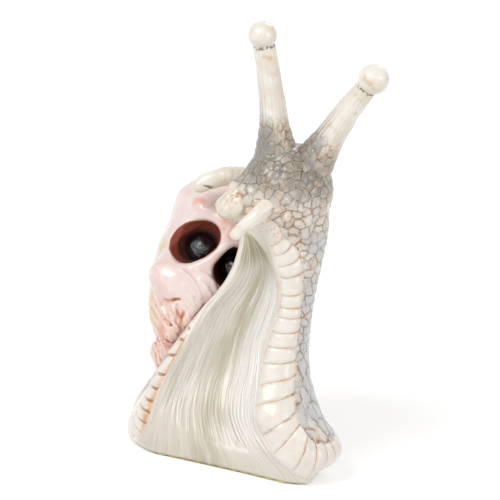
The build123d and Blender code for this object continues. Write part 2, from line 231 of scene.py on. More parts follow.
class Clay:
    """A block of depths below and above a skin, which is meshed where the depth is nothing."""

    def __init__(self, node, grain):
        points, triangles = solid_of(node)
        self.grain = grain
        self.low = points.min(0) - clay_reach
        count = np.ceil((points.max(0) + clay_reach - self.low) / grain).astype(int) + 1
        corners = ((points - self.low) / grain).astype(np.float32)
        grid = openvdb.FloatGrid.createLevelSetFromPolygons(
            corners, triangles=triangles, halfWidth=clay_reach / grain)
        self.depth = np.full(count, clay_reach / grain, np.float32)
        grid.copyToArray(self.depth)
        self.depth *= grain

    def soften(self, amount):
        """Blurs every corner and joint by about this many millimetres."""
        for _ in range(max(1, int(round(2 * (amount / self.grain) ** 2)))):
            for axis in range(3):
                middle = np.moveaxis(self.depth, axis, 0)
                middle[1:-1] = (middle[:-2] + 2 * middle[1:-1] + middle[2:]) / 4

    def read(self, block, points):
        """The value that a block of the clay's size holds at each point."""
        cell = np.clip((points - self.low) / self.grain, 0, np.array(block.shape[:3]) - 1.001)
        base = np.floor(cell).astype(int)
        return blended(block, base, cell - base)

    def outwards(self, points, slopes):
        """The direction out of the clay at each point."""
        way = self.read(slopes, points)
        return way / (np.linalg.norm(way, axis=1)[:, None] + 1e-9)

    def onto(self, points):
        """The points, moved to the nearest place on the skin."""
        points = np.asarray(points, float)
        slopes = np.stack(np.gradient(self.depth), -1)
        for _ in range(6):
            points = points - 0.8 * self.read(self.depth, points)[:, None] * self.outwards(points, slopes)
        return points

    def front(self, x, z):
        """How far back the front skin lies at the places x to the right and z up."""
        front, back, step = -30.0, 12.0, 0.25
        steps = np.arange(front, back, step)
        places = np.stack([np.repeat(x, len(steps)), np.tile(steps, len(x)), np.repeat(z, len(steps))], 1)
        inside = self.read(self.depth, places).reshape(len(x), -1) < 0
        return steps[np.argmax(inside, axis=1)]

    def places(self, middle, reach):
        """The part of the block within reach of a place, and the places of its cells."""
        middle, reach = np.asarray(middle, float), np.asarray(reach, float)
        first = np.maximum(np.floor((middle - reach - self.low) / self.grain).astype(int), 0)
        last = np.ceil((middle + reach - self.low) / self.grain).astype(int) + 1
        last = np.minimum(last, self.depth.shape)
        window = tuple(slice(a, b) for a, b in zip(first, last))
        axes = [self.low[k] + self.grain * np.arange(first[k], last[k]) for k in range(3)]
        return window, np.stack(np.meshgrid(*axes, indexing="ij"), -1)

    def press(self, window, tool, blend, cut):
        """Joins the tool's shape to the clay, or cuts it out, with a fillet of about the blend."""
        old = self.depth[window]
        if cut:
            old = -old
        near = np.maximum(blend - np.abs(old - tool), 0.0) / blend
        joined = np.minimum(old, tool) - near * near * blend / 4
        self.depth[window] = -joined if cut else joined

    def ball(self, middle, radii, blend, cut=False, turn=None):
        """An egg with these half sizes along the clay's axes, or along the axes of turn."""
        radii = np.asarray(radii, float)
        window, places = self.places(middle, max(radii) + 2 * blend + 1.0)
        away = places - np.asarray(middle, float)
        if turn is not None:
            away = away @ np.asarray(turn).T
        size = np.linalg.norm(away / radii, axis=-1)
        slope = np.linalg.norm(away / radii ** 2, axis=-1) + 1e-6
        self.press(window, size * (size - 1.0) / slope, blend, cut)

    def worm(self, points, radii, blend, cut=False):
        """A round string through the points, with a radius for each of them."""
        points, radii = np.asarray(points, float), np.asarray(radii, float)
        middle = (points.max(0) + points.min(0)) / 2
        reach = (points.max(0) - points.min(0)) / 2 + radii.max() + 2 * blend + 1.0
        window, places = self.places(middle, reach)
        tool = np.full(places.shape[:-1], far_outside)
        for start, end, thick, next_thick in zip(points[:-1], points[1:], radii[:-1], radii[1:]):
            run = end - start
            along = np.clip(((places - start) @ run) / (run @ run), 0.0, 1.0)
            gap = np.linalg.norm(places - start - along[..., None] * run, axis=-1)
            tool = np.minimum(tool, gap - (thick + (next_thick - thick) * along))
        self.press(window, tool, blend, cut)

    def skin(self):
        """The points, faces and outward directions of the skin."""
        grid = openvdb.FloatGrid(far_outside)
        grid.copyFromArray(self.depth.astype(np.float32))
        points, _, quads = grid.convertToPolygons(0.0, 0.0)
        points = points * self.grain + self.low
        return points, quads[:, ::-1], self.outwards(points, np.stack(np.gradient(self.depth), -1))

    def hollow(self, points, amount):
        """How deep each point lies in a crease, in millimetres, against the clay blurred by the amount."""
        kept = self.depth.copy()
        self.soften(amount)
        depth = -self.read(self.depth, points)
        self.depth = kept
        return depth


def put(name, data):
    """A new object in the scene."""
    made = bpy.data.objects.new(name, data)
    bpy.context.scene.collection.objects.link(made)
    return made


def leave_marks(mesh, marks):
    """Values at the mesh's points, by their names, for its paint to follow."""
    for title, values in marks.items():
        mark = mesh.attributes.new(title, "FLOAT", "POINT")
        mark.data.foreach_set("value", np.asarray(values, np.float32))


def piece(name, points, faces, material, replaces, marks=None):
    """A finished mesh piece, from figure millimetres into the frame's metres."""
    mesh = bpy.data.meshes.new(name)
    mesh.from_pydata(((np.asarray(points) - figure_step) * MM).tolist(), [], [list(f) for f in faces])
    mesh.polygons.foreach_set("use_smooth", np.ones(len(mesh.polygons), bool))
    leave_marks(mesh, marks or {})
    mesh.materials.append(material)
    mesh.update()
    return seated(put(name, mesh), replaces)


def seated(made, replaces=()):
    """The object with its place in the frame, and the CAD nodes that it stands for hidden."""
    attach(made, "root")
    if replaces:
        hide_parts(*replaces)
    return made


def margin_places(clay, points):
    """For each point its place along the margin in plates, its share across, its distance from the
    margin's sheet, and how long and how wide a plate is there."""
    keys = np.array([row[0] for row in margin_rows], float)
    steps_along, steps_across = 1600, 37
    fine = np.linspace(keys[0], keys[-1], steps_along)
    inner, outer = (
        through(keys, np.array([row[side] for row in margin_rows], float), fine) for side in (1, 2))
    shares = np.linspace(-0.1, 1.1, steps_across)
    sheet = inner[:, None] + shares[None, :, None] * (outer - inner)[:, None]
    sheet = clay.onto(sheet.reshape(-1, 3)).reshape(sheet.shape)
    forward = np.gradient(sheet, fine, axis=0).reshape(-1, 3)
    sideways = np.gradient(sheet, shares, axis=1).reshape(-1, 3)
    sheet = sheet.reshape(-1, 3)
    search = nearest_of(sheet)
    found = np.array([search.find(p)[1:] for p in points.tolist()])
    i, far = found[:, 0].astype(int), found[:, 1]
    # The step from the nearest place of the sheet, as shares of its ways forward and sideways
    f, s, off = forward[i], sideways[i], points - sheet[i]
    ff, fs, ss = np.sum(f * f, 1), np.sum(f * s, 1), np.sum(s * s, 1)
    of, os = np.sum(off * f, 1), np.sum(off * s, 1)
    size = np.maximum(ff * ss - fs * fs, 1e-6)
    plates = fine[i // len(shares)] + np.clip((of * ss - os * fs) / size, -0.2, 0.2)
    across = shares[i % len(shares)] + np.clip((os * ff - of * fs) / size, -0.1, 0.1)
    return plates, across, far, np.sqrt(ff), np.sqrt(ss)


def cells(points, pitch, seed):
    """Scattered scales: each point's distance from its scale's edge, and its scale's number."""
    random = np.random.default_rng(seed)
    taken = {}
    tries, least_apart = 60000, 0.86 * pitch
    for i in random.permutation(len(points))[:tries]:
        place = points[i]
        box = tuple(np.floor(place / pitch).astype(int))
        near = [taken.get((box[0] + a, box[1] + b, box[2] + c))
                for a in (-1, 0, 1) for b in (-1, 0, 1) for c in (-1, 0, 1)]
        if all(other is None or np.sum((other - place) ** 2) > least_apart ** 2 for other in near):
            taken[box] = place
    middles = np.array(list(taken.values()))
    search = nearest_of(middles)
    pairs = [search.find_n(p, 2) for p in points.tolist()]
    first, second = (np.array([pair[k][2] for pair in pairs]) for k in (0, 1))
    own, other = (np.array([pair[k][1] for pair in pairs]) for k in (0, 1))
    apart = np.linalg.norm(middles[own] - middles[other], axis=1)
    return (second ** 2 - first ** 2) / (2 * apart), own


def sole_span(z):
    """The left edge of the ribbed sole at the heights z, and its width there."""
    left, right = (through(edge[:, 0], edge[:, 1], z) for edge in (sole_left_edge, sole_right_edge))
    return left, np.maximum(right - left, 0.6)


def across_sole(points):
    """The share of the way across the ribbed sole, from its left edge, at which each point lies."""
    left, width = sole_span(points[:, 2])
    return (points[:, 0] - left) / width


def shape_body():
    """The clay of the snail's foot, neck and head, with its lips and folds."""
    clay = Clay("snail_body", body_grain)
    clay.soften(1.5)
    # The fold beside the white lip, and the creases round the lip
    for path, radii, blend, cut in (
        ([(-1.6, -2.5, 92), (-4.6, -3.8, 89.6), (-6.3, -4.4, 86.6), (-6.9, -4.8, 84)],
         (1.5, 1.3, 1.1, 0.7), 0.9, False),
        ([(-1.6, -5.6, 91), (-3.9, -6, 88.4), (-4.8, -6.4, 85.6), (-4.2, -6.6, 83)],
         (0.7, 1.1, 1.0, 0.6), 0.4, True),
        ([(0.8, -8, 89.4), (-1.2, -9, 87.2), (-1.8, -9, 84.6)], (0.5, 0.8, 0.5), 0.5, True),
        ([(1.6, -7, 91.2), (4.6, -9.6, 88.4), (5.2, -11.2, 85), (4, -11.4, 81.6)],
         (0.6, 1.1, 1.1, 0.7), 0.8, True),
    ):
        clay.worm(clay.onto(path), radii, blend, cut)
    # The roll of the neck behind the right feeler, and the pebbles on it
    clay.worm([(20, -8.5, 89), (23.5, -8, 84), (25.5, -8, 78)], (1.8, 1.6, 1.0), 2.5)
    pebbles = [(18.1, -9, 90.1), (18.1, -9, 85.4), (20.8, -9, 88.2), (15.2, -9, 87.6), (21.2, -9, 84)]
    for pebble in clay.onto(pebbles):
        clay.ball(pebble, (1.7, 1.5, 1.3), 0.5)
    # The foot goes straight down to its felt, with a rounded lower edge
    heights = clay.low[2] + clay.grain * np.arange(clay.depth.shape[2])
    foot = np.searchsorted(heights, straight_foot)
    clay.depth[:, :, :foot] = clay.depth[:, :, foot:foot + 1]
    clay.press(..., heights - foot_bottom, foot_fillet, True)
    return clay


# Painted shade: the olive streak down the sole's channel, where its hollow lies in shade: height, how far
# right, and half its width
channel_shade_line = np.array([
    (0, 5, 5), (9, 3.4, 5), (21, 3.9, 5), (30, 5.2, 4.6), (43.5, 9, 4.2), (58.7, 12.7, 3.4), (72, 12, 2.2),
    (77, 8, 1.2),
], float)


def painted_channel_shade(points):
    """Painted shade of the sole's channel, from nothing to one: near the olive streak, and full over the
    channel's top under the head.
    """
    line = through(channel_shade_line[:, 0], channel_shade_line[:, 1:], np.clip(points[:, 2], 0, 77))
    away = (points[:, 0] - line[:, 0]) / line[:, 1]
    streak = bell(away) * (0.50 + 0.24 * smooth_step(24, 48, points[:, 2]))
    return np.maximum(streak, smooth_step(60, 70, points[:, 2]))


def drawn_in(points):
    """How far the foot's right edge draws in towards the ground at each point."""
    inwards = foot_drawn_in * smooth_step(11, 1, points[:, 2]) * smooth_step(37, 46, points[:, 0])
    return np.stack([inwards, 0 * inwards, 0 * inwards], 1)


# Dabs of rust wash and of stippled tan on the body: place and radius
rust_places = (
    (1.5, -8, 88, 3.2), (5.6, -11, 84, 2.6), (4.8, -11, 87, 2.6), (21, -9, 80, 3.6), (24, -8, 75.5, 3.0),
    (18.5, -8, 84, 3.4), (14.6, -9, 73.8, 1.2), (25.6, -9, 71.6, 2.4), (27, -9, 66.4, 2.4),
    (29.2, -13, 33.6, 3.6), (30.6, -16, 27.4, 3.4), (32, -18, 22, 3.6), (34.4, -21, 16.6, 3.4),
    (38.6, -21, 14.2, 3.2), (33, -23, 12, 4.6), (43, -17, 13, 4.0), (28.6, -10, 44, 2.4),
    (14, -9, 90, 3.0), (22, -9, 92, 3.0), (8, -6, 91, 4.0), (12, -8, 94, 3.4), (18.2, -9, 86, 3.0),
    (26, -8, 96, 3.0), (29.6, -9, 60, 3.0), (30, -9, 52, 3.0), (24, -8, 88, 4.0),
)
tan_places = ((12.4, -10, 80, 5.0), (15.6, -9.5, 77.4, 3.6), (10, -10, 83, 3.4))


def finish_body(clay):
    """The skin of the body, with its plates and scales, and the marks that its paint follows."""
    points, faces, way = clay.skin()
    hollow = clay.hollow(points, 1.8)
    height = points[:, 2]
    rise = np.zeros(len(points))

    # The ribbed sole stays smooth here, because its ribs are laid on it one by one
    across = across_sole(points)
    sole = smooth_step(-0.03, 0.02, across) * smooth_step(1.03, 0.98, across)
    sole *= smooth_step(-0.1, 0.15, -way[:, 1]) * smooth_step(sole_top, sole_top - 2, height)

    # Plates of the margin, each a little higher at its far end, like shingles
    plates, share, far, plate_length, band_width = margin_places(clay, points)
    band = smooth_step(-0.03, 0.03, share) * smooth_step(1.03, 0.97, share) * smooth_step(2.2, 1.4, far)
    band *= 1 - sole
    on_left = plates > left_side_start
    sag = np.where(on_left, 0.12, -0.14) * (1 - (2 * share - 1) ** 2)
    order = plates + sag + 0.05 * lumps(points, 3.0, 61)
    within = order % 1.0
    line = np.minimum(within, 1 - within) * plate_length
    plated = band * smooth_step(-0.2, 0.8, plates)
    plated *= 1 - smooth_step(44, 46, plates) * smooth_step(49.2, 48, plates)
    full = np.clip(plate_length / 4.5, 0.3, 1.0)
    lean = np.where(on_left, plate_rise_left, plate_rise_right)
    pillow = 0.26 * np.sin(np.pi * np.clip(share, 0, 1)) + lean * (within - 0.5)
    groove = groove_depth * bell(line / 0.5)
    rise += plated * full * (pillow - groove)
    border = np.minimum(np.abs(share), np.abs(1 - share)) * band_width
    soft = 1 - 0.8 * smooth_step(0.5, 0.3, share) * (plates < left_side_start)
    rise -= border_depth * band * soft * bell(border / 0.6)

    # Scales over the rest, wider on the low parts and long on the foot's flanks. None lie on the
    # muzzle, close beside the sole and its margin, or low down at the left of the neck's front.
    muzzle = np.linalg.norm((points - muzzle_middle) / muzzle_half_size, axis=1)
    scales = (1 - np.clip(sole * 3, 0, 1)) * (1 - np.clip(band * 3, 0, 1)) * smooth_step(0.95, 1.2, muzzle)
    margin_side = smooth_step(0.04, -0.02, share) * smooth_step(4.8, 3.8, far) * smooth_step(80, 76, height)
    sole_side = smooth_step(0.10, -0.02, across) * smooth_step(80, 77, height) * smooth_step(30, 42, height)
    low_left = smooth_step(-16, -19, points[:, 0]) * smooth_step(12, 6, points[:, 1])
    scales *= 1 - np.maximum(margin_side, sole_side)
    scales *= 1 - low_left * smooth_step(26, 18, height)
    fine = 1 - 0.2 * smooth_step(76, 30, height)
    flat = points - (20, 4, 0)
    stretched = np.where(height < 36, 0.45 * height + 19.8, height)
    warped = np.stack([flat[:, 0] * fine, flat[:, 1] * fine, stretched * fine], 1)
    edge, own = cells(warped + 0.7 * pushes(points, 2.6, 8), scale_pitch, 7)
    lift = np.random.default_rng(5).random(own.max() + 1)[own]
    high = 1 - 0.35 * smooth_step(76, 60, height) - 0.35 * smooth_step(88, 95, height)
    rise += scales * high * (scale_height * (1 - bell(edge / 0.5)) - 0.26 + scale_spread * lift)
    rise *= smooth_step(0.8, 1.6, height)
    marks = {
        "edge": edge, "hollow": hollow, "sole": sole, "across": across, "band": band, "plated": plated,
        "order": order, "plate_length": plate_length, "share": share, "scales": scales, "lift": lift,
        "border": border, "left_side": smooth_step(48, 50, plates) * band,
        "dome": smooth_step(87, 97, height) * scales,
        "flank": smooth_step(22, 28, points[:, 0]) * smooth_step(84, 74, height) * scales,
        "channel_shade": painted_channel_shade(points), "rust": dabs(points, rust_places), "low": smooth_step(26, 6, height),
        "lip": smooth_step(1.2, 0.95, muzzle), "tan": dabs(points, tan_places),
    }
    return points + way * rise[:, None] - drawn_in(points), faces, marks


def rib_paths(clay):
    """The paths of the sole's ribs, from its top down to the foot, with each rib's width on the way."""
    random = np.random.default_rng(17)
    paths = []
    for k in range(rib_count):
        share = (k + 0.5 + 0.3 * (random.random() - 0.5)) / rib_count
        top = sole_top - 0.6 - 9 * random.random() * (share > 0.15)
        z = np.linspace(top, rib_end, 120)
        left, width = sole_span(z)
        wave = 0.35 * np.sin(z / (7 + 5 * random.random()) + 6 * random.random()) / rib_count
        x = left + (share + wave) * width
        y = clay.front(x, z)
        y = np.convolve(np.pad(y, 4, mode="edge"), np.ones(9) / 9, mode="valid")
        radius = np.clip(0.64 * width / rib_count * (0.75 + 0.5 * random.random()), 0.10, 1.3)
        radius *= smooth_step(0.0, 0.1, (top - z) / top + 0.02)
        sunk = rib_sunk + rib_sunk_at_foot * smooth_step(11, 3, z)
        paths.append((np.stack([x, y + sunk * radius, z], 1), radius))
    return paths


def lay_ribs(clay, material):
    """The ribs as round cords, mostly sunk in the sole, each made along its own path."""
    lines = bpy.data.curves.new("rib_paths", "CURVE")
    lines.dimensions = "3D"
    for places, radius in rib_paths(clay):
        line = lines.splines.new("POLY")
        line.points.add(len(places) - 1)
        placed = np.concatenate([(places - figure_step) * MM, np.ones((len(places), 1))], 1)
        line.points.foreach_set("co", placed.ravel().astype(np.float32))
        line.points.foreach_set("radius", (radius * MM).astype(np.float32))
    laid = put("rib_paths", lines)

    tree = bpy.data.node_groups.new("cords_along_paths", "GeometryNodeTree")
    tree.interface.new_socket("Paths", in_out="INPUT", socket_type="NodeSocketGeometry")
    sides = tree.interface.new_socket("Sides", in_out="INPUT", socket_type="NodeSocketInt")
    finish = tree.interface.new_socket("Finish", in_out="INPUT", socket_type="NodeSocketMaterial")
    tree.interface.new_socket("Cords", in_out="OUTPUT", socket_type="NodeSocketGeometry")
    given = tree.nodes.new("NodeGroupInput").outputs
    profile = add(tree, "GeometryNodeCurvePrimitiveCircle", given["Sides"], 1.0)
    width = add(tree, "GeometryNodeInputRadius")
    cords = add(tree, "GeometryNodeCurveToMesh", given["Paths"], profile, width, True)
    cords = add(tree, "GeometryNodeSetShadeSmooth", cords, True, True)
    cords = add(tree, "GeometryNodeRealizeInstances", cords)
    cords = add(tree, "GeometryNodeSetMaterial", cords, True, given["Finish"])
    tree.links.new(cords, tree.nodes.new("NodeGroupOutput").inputs["Cords"])

    maker = laid.modifiers.new("cords", "NODES")
    maker.node_group = tree
    maker[sides.identifier] = rib_sides
    maker[finish.identifier] = material
    mesh = bpy.data.meshes.new_from_object(laid.evaluated_get(bpy.context.evaluated_depsgraph_get()))
    bpy.data.objects.remove(laid)
    mesh.name = "sole_ribs"
    points = np.array([v.co for v in mesh.vertices]) / MM + figure_step
    leave_marks(mesh, {
        "channel_shade": painted_channel_shade(points), "low": smooth_step(26, 6, points[:, 2]),
        "across": across_sole(points),
    })
    return seated(put("sole_ribs", mesh))


# The skull's own axes: right, back and up, from the bridge between its sockets
skull_place = np.array([-1.47, 3.6, 65.7])
skull_tilt, skull_lean, skull_turn = math.radians(20), math.radians(12), math.radians(6)


def skull_axes():
    """The directions right, back and up of the skull, which leans back and turns its face."""
    right = np.array([math.cos(skull_tilt), 0, -math.sin(skull_tilt)])
    up = np.array([
        math.sin(skull_tilt) * math.cos(skull_lean), math.sin(skull_lean),
        math.cos(skull_tilt) * math.cos(skull_lean)])
    back = np.cross(up, right)
    turned = math.cos(skull_turn) * right - math.sin(skull_turn) * back
    return np.array([turned, np.cross(up, turned), up])


skull_way = skull_axes()
# The middles of the beads, in figure millimetres
bead_left, bead_right = np.array([-7.3, 12.4, 63.0]), np.array([3.92, 11.3, 59.2])
# Sockets: right, up, half width, half height and how many degrees the top slants to the right
sockets = ((-8.4, -1.0, 6.2, 8.6, 24), (5.8, -2.9, 5.5, 6.9, -8))


def on_skull(places):
    """Skull places (right, back, up) in figure millimetres."""
    return skull_place + np.asarray(places, float) @ skull_way


def slanted(degrees):
    """The skull's axes, turned about the way back."""
    s, c = math.sin(math.radians(degrees)), math.cos(math.radians(degrees))
    right, back, up = skull_way
    return np.array([c * right - s * up, back, s * right + c * up])


def shape_skull(body):
    """The clay of the fleshy skull: brows, sockets, cheeks, mouth and chin."""
    clay = Clay("skull", skull_grain)
    clay.soften(1.0)

    def fold(points, radii, blend, cut=False, above=0.0):
        """A string of clay laid on the skin, or a crease cut in it, through places right and up."""
        laid = clay.onto(on_skull([(right, 0.0, up) for right, up in points]))
        clay.worm(laid - above * skull_way[1], radii, blend, cut)

    # Rims of the sockets
    brow = [(-15.4, -6), (-14.6, 2), (-11.6, 8.2), (-5, 9.8), (0, 8.0)]
    fold(brow, (1.2, 1.6, 1.8, 1.6, 1.2), 3.0, above=-0.9)
    # The broad cheek that takes the nose's place
    clay.ball(on_skull((-7.4, 3.2, -15.4)), (8.6, 5.4, 6.4), 4.0, turn=skull_way)
    # The sockets are opened again, each along its own slant, and the left one gets a straight lower lid
    for across, up, half_width, half_height, slant in sockets:
        for back in (-1.6, 0.0, 1.6, 3.2, 4.8):
            grow = 1.02 - 0.018 * back
            size = (half_width * grow, 3.2, half_height * grow)
            clay.ball(on_skull((across, back, up)), size, 1.0, True, slanted(slant))
    lid = on_skull([(-9.6, 1.8, -12.0), (-5.4, 1.2, -9.0), (-2.0, 1.1, -5.0), (0.9, 1.1, 3.0)])
    clay.worm(lid, (1.4, 2.0, 2.0, 1.2), 1.4)
    # Wrinkles between the right socket and the cheek
    fold([(-3.6, -8.6), (-0.2, -9.0), (2.6, -10.0), (5.8, -12.0)], (0.5, 0.9, 0.9, 0.6), 0.5, above=0.1)
    fold([(-1.6, -11.2), (1.4, -12.2), (4.6, -14.2)], (0.5, 0.8, 0.6), 0.5, above=0.1)
    fold([(-8.0, -12.0), (-4.6, -12.6), (-1.4, -14.0), (1.4, -16.0)], (0.4, 0.8, 0.7, 0.4), 0.5, above=0.1)
    fold([(-5.6, -15.0), (-2.4, -16.4), (0.2, -18.6)], (0.4, 0.7, 0.5), 0.5)
    # Lips: soft lobes between the mouth's creases
    for right, up, size in ((0.9, -19.8, 2.2), (-3.4, -23.8, 2.4), (1.0, -24.6, 1.5), (-1.4, -30.4, 2.2)):
        laid = clay.onto(on_skull([(right, 0.0, up)]))[0]
        clay.ball(laid + 1.3 * skull_way[1], (size, 1.8, 1.4 * size), 1.4, turn=skull_way)
    # Muscles that slant down to the chin
    for step in range(6):
        low = -25.0 - 1.9 * step
        muscle = [(-10.6 + 0.9 * step, low + 0.6), (-6.6 + 0.7 * step, low - 1.0),
                  (-2.6 + 0.5 * step, low - 3.6)]
        fold(muscle, (0.4, 0.8, 0.4), 0.9, above=-0.50)
    # The chin and the crease above it
    clay.ball(on_skull((1.2, 2.8, -39)), (3.4, 3.8, 5.0), 2.4, turn=skull_way)
    fold([(-5.4, -33.8), (-1.6, -34.2), (2.6, -34.6)], (0.4, 0.7, 0.4), 0.8, True)
    # The small hollow under the cheek, and the sharp creases of the closed mouth
    for crease in (
        [(-8.4, -22.8), (-6.6, -21.6), (-5.2, -19.8), (-4.0, -19.2)],
        [(-12.6, -26.4), (-10.6, -25.2), (-8.8, -23.6)],
        [(-1.2, -22.2), (-0.4, -24.5), (0.4, -26.7), (1.2, -28.8)],
        [(3.5, -17.4), (3.0, -19.5), (2.4, -21.9), (2.2, -24.6)],
        [(-6.8, -27.6), (-3.4, -28.0), (-0.6, -30.0)], [(-5.0, -31.2), (-1.6, -32.2), (1.4, -33.0)],
        [(-3.6, -22.4), (-3.2, -25.0), (-2.2, -27.0)],
    ):
        fold(crease, [0.45] + [0.62] * (len(crease) - 2) + [0.45], 0.4, True, above=-0.2)
    # Nothing of the skull may show through the body
    whole, places = clay.places(skull_place, far_outside)
    inside = body.read(body.depth, places.reshape(-1, 3)).reshape(clay.depth.shape)
    clay.depth[whole] = np.maximum(clay.depth, -(inside + 1.6))
    return clay


# Dabs of paint on the skull, each with its radius, in the skull's own axes
blush_places = (
    (-18.2, 4, 9.6, 3.2), (-15.4, 3, 11.2, 3.0), (-12.6, 3, 12.2, 2.4), (-2.6, 0, 8.6, 3.0),
    (0.6, 0, 7.4, 3.2), (-1, 2, -35, 6.0), (-4, 1, -30, 4.0),
)
ochre_places = (
    (-19.5, 12, -8.5, 5.5), (-17, 12, -17, 4.5), (-9, 7, -30, 5.0), (-12, 9, -25, 4.5), (-5, 3, -26, 2.6),
)
flesh_rust_places = (
    (-5.2, -1, -19.8, 3.0), (-8.2, -1, -23.2, 3.0), (-11, 2, -25.2, 3.0), (3.2, 0, -18.4, 3.0),
    (2.6, 0, -22.2, 3.4), (-0.8, 0, -23.6, 3.0), (0.6, 0, -27.4, 3.0), (-3.4, 0, -28.2, 3.0),
    (-2, 0, -32, 3.0),
)
# How far the temple and the jaw stand out to the left of the solid's, how far the crown's left side,
# under the feeler, moves right and down, and how deep the crown's seams are
stood_out, crown_dip, seam_depth = 1.2, 1.6, 0.35


def skull_dabs(points, places):
    """Soft round dabs of paint, given in the skull's own axes."""
    return dabs(points, [(*on_skull(place), radius) for *place, radius in places])


def finish_skull(clay):
    """The skin of the skull, with its pores and fibres, and the marks that its paint follows."""
    points, faces, way = clay.skin()
    hollow = clay.hollow(points, 1.4)
    local = (points - skull_place) @ skull_way.T
    right, back, up = local.T

    # How deep each point lies behind a plane through its socket's rim
    socket = np.zeros(len(points))
    for across, high, half_width, half_height, slant in sockets:
        middle, inwards = on_skull((across, 0.0, high)), slanted(slant)
        turn = np.linspace(0, 2 * math.pi, 24)
        rim = 1.25 * np.stack([half_width * np.cos(turn), 0 * turn, half_height * np.sin(turn)], 1)
        rim = (clay.onto(middle + rim @ inwards) - middle) @ inwards.T
        plane = np.linalg.lstsq(np.stack([rim[:, 0], rim[:, 2], 1 + 0 * turn], 1), rim[:, 1], rcond=None)[0]
        turned = (points - middle) @ inwards.T
        depth = turned[:, 1] - turned[:, 0] * plane[0] - turned[:, 2] * plane[1] - plane[2]
        ring = np.hypot(turned[:, 0] / half_width, turned[:, 2] / half_height)
        inside = smooth_step(1.07, 1.00, ring) * smooth_step(0.3, 3.6, depth)
        socket = np.maximum(socket, inside * smooth_step(22, 18, turned[:, 1]))

    # Muscle fibres that slant across the lower face
    lower = smooth_step(-21, -25, up) * smooth_step(12, 7, back)
    fan = 0.58 * right + 0.81 * up + 0.5 * lumps(local, 5.0, 11)
    fibre = np.sin(fan * 2 * np.pi / 1.7) + 0.7 * lumps(local, 1.6, 12)
    rise = 0.08 * fibre * lower
    # Soft lumps and pores of the skin, and the wandering seams of the crown
    rise += (0.20 * lumps(points, 5.0, 21) + 0.07 * lumps(points, 1.7, 22)) * (1 - socket)
    crown = smooth_step(15, 21, back)
    wander = 1.3 * lumps(points, 3.2, 31) + 0.6 * lumps(points, 1.3, 32)
    seam = np.minimum(np.abs(right + 1 + wander), np.abs(back - 27 + 0.4 * up + wander))
    rise -= seam_depth * crown * bell(seam / 0.5)
    # Painted shade: darkness round each bead, deep in its socket
    painted_bead_shade = np.zeros(len(points))
    for bead in (bead_left, bead_right):
        away = np.linalg.norm(points - bead + 0.6 * skull_way[2] + 0.4 * skull_way[0], axis=1)
        painted_bead_shade = np.maximum(painted_bead_shade, smooth_step(9.0, 5.4, away))
    marks = {
        "hollow": hollow, "fibre": fibre, "lower": lower, "seam": seam, "crown": crown, "socket": socket,
        "painted_bead_shade": painted_bead_shade, "blush": skull_dabs(points, blush_places), "ochre": skull_dabs(points, ochre_places),
        "rust": skull_dabs(points, flesh_rust_places),
    }
    # The temple and the jaw stand a little further out to the left
    wide = smooth_step(-9, -17, right) + 0.9 * smooth_step(-20, -25, up) * smooth_step(-5, -10, right)
    wide = np.minimum(wide, 1) * smooth_step(-35, -31, up)
    wide -= smooth_step(-33, -36, up) * smooth_step(0, -5, right)
    moved = -stood_out * wide[:, None] * skull_way[0]
    # The crown stays a little below the left feeler
    crest = smooth_step(10, 16, up) * smooth_step(-7, -13, right)
    moved += crown_dip * crest[:, None] * (0.6 * skull_way[0] - 0.8 * skull_way[2])
    return points + way * rise[:, None] + moved, faces, marks


def tube(points, radii, rings, sides, rounded=False):
    """A closed tube along a smooth path: its points and faces, and for each point the millimetres
    along the tube, the turn round it and the direction out of it."""
    points = np.asarray(points, float)
    keys = np.linspace(0, 1, len(points))
    where = np.linspace(0, 1, rings)
    path = through(keys, points, where)
    taper = np.asarray(radii, float)
    radius = through(taper[:, 0], taper[:, 1], where)
    along = np.concatenate(([0.0], np.cumsum(np.linalg.norm(np.diff(path, axis=0), axis=1))))
    way = np.gradient(path, axis=0)
    way /= np.linalg.norm(way, axis=1)[:, None]
    side = np.cross(way, (0.0, -1.0, 0.12))
    side /= np.linalg.norm(side, axis=1)[:, None]
    other = np.cross(way, side)
    if rounded:
        near = np.clip(1 - (along[-1] - along) / radius[-1], 0, 1)
        radius = radius * np.sqrt(np.maximum(1 - near ** 2, 0.004))
    turn = np.linspace(0, 2 * math.pi, sides, endpoint=False)
    ring = np.cos(turn)[None, :, None] * side[:, None] + np.sin(turn)[None, :, None] * other[:, None]
    surface = path[:, None] + ring * radius[:, None, None]
    faces = []
    for i in range(rings - 1):
        for j in range(sides):
            k = (j + 1) % sides
            faces.append((i * sides + j, i * sides + k, (i + 1) * sides + k, (i + 1) * sides + j))
    faces.append(tuple(reversed(range(sides))))
    faces.append(tuple((rings - 1) * sides + j for j in range(sides)))
    return surface.reshape(-1, 3), faces, np.repeat(along, sides), np.tile(turn, rings), ring.reshape(-1, 3)


# Cuts across a ball's faces, and rings along and sides round a stalk and a feeler
ball_cuts, stalk_fineness, feeler_fineness = 39, (200, 96), (90, 48)
# Paths of the stalks and feelers, the middles of the balls, and the tapers: share of the way, radius
stalk_taper = ((0.0, 7.5), (0.12, 6.3), (0.28, 4.98), (0.5, 4.2), (0.75, 3.75), (1.0, 3.42))
left_stalk = ((11.83, 2, 100.96), (7.7, 1.2, 118.7), (2.31, 0, 137.2))
right_stalk = ((23.1, 0.8, 99.5), (31.08, -4, 118.6), (37.03, -8, 130.6))
left_ball = (1.32, -0.23, 140.26)
right_ball = (38.59, -9.09, 133.49)


